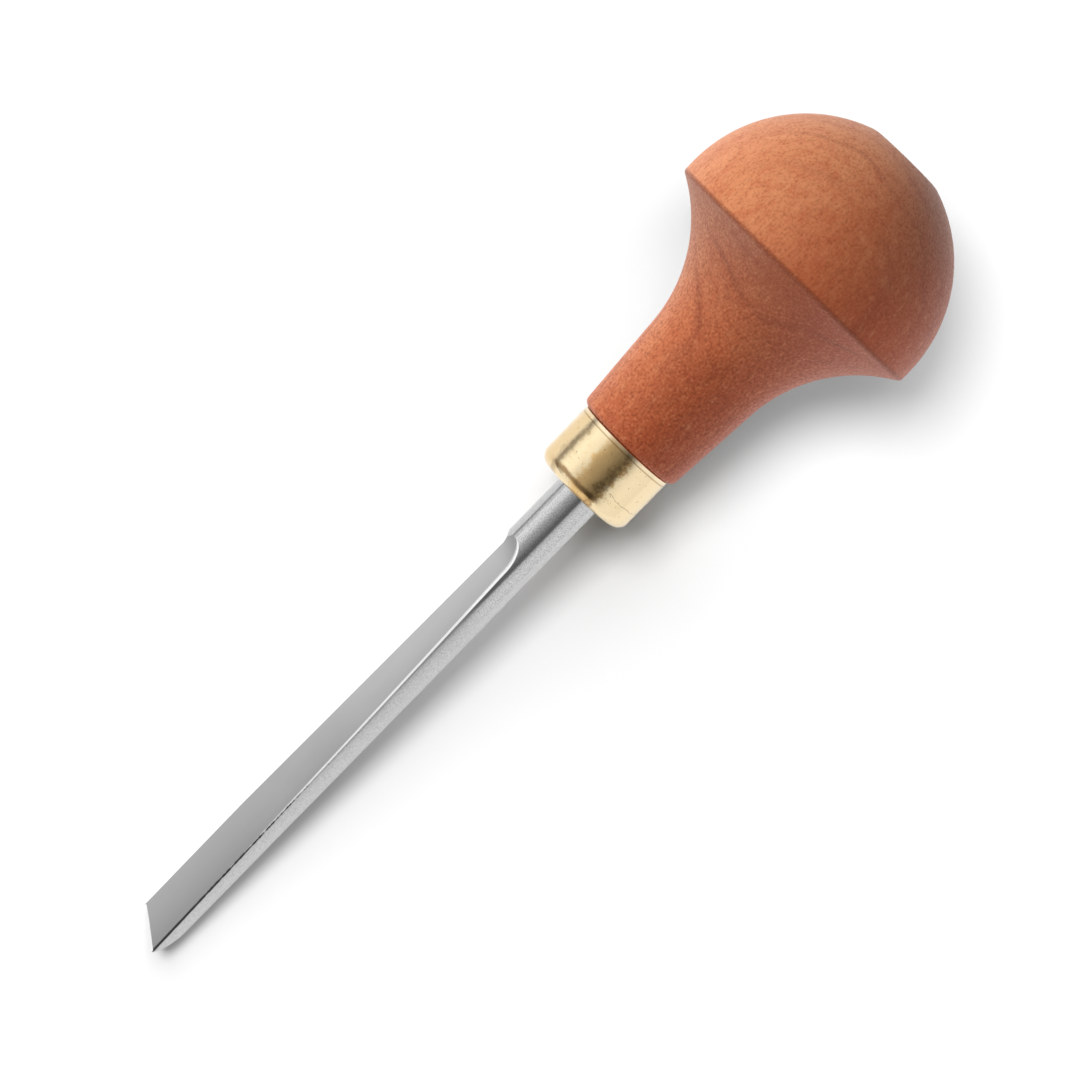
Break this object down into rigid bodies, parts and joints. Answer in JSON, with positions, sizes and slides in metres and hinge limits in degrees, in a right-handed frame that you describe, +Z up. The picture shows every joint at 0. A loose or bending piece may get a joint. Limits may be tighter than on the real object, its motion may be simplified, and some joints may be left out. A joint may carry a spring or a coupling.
{
  "type": "palm gouge",
  "caption": "Short hand-pushed carving gouge: ground steel blade with a skewed edge on a round shank, brass ferrule and turned mushroom palm handle.",
  "frame": {"origin": "centre of the bounding box on the bench that the tool lies on", "axes": "+Z up from the bench, +X along the tool from its point to its pommel, +Y across it"},
  "size_m": [0.13, 0.0354, 0.0355],
  "materials": {
    "blade_steel": "ground and lightly polished",
    "ferrule_brass": "polished, slightly tarnished",
    "handle_wood": "fine-grained hardwood, oiled satin"
  },
  "bodies": {
    "root": {"blade": "blade_steel", "ferrule": "ferrule_brass", "handle": "handle_wood"}
  },
  "joints": []
}
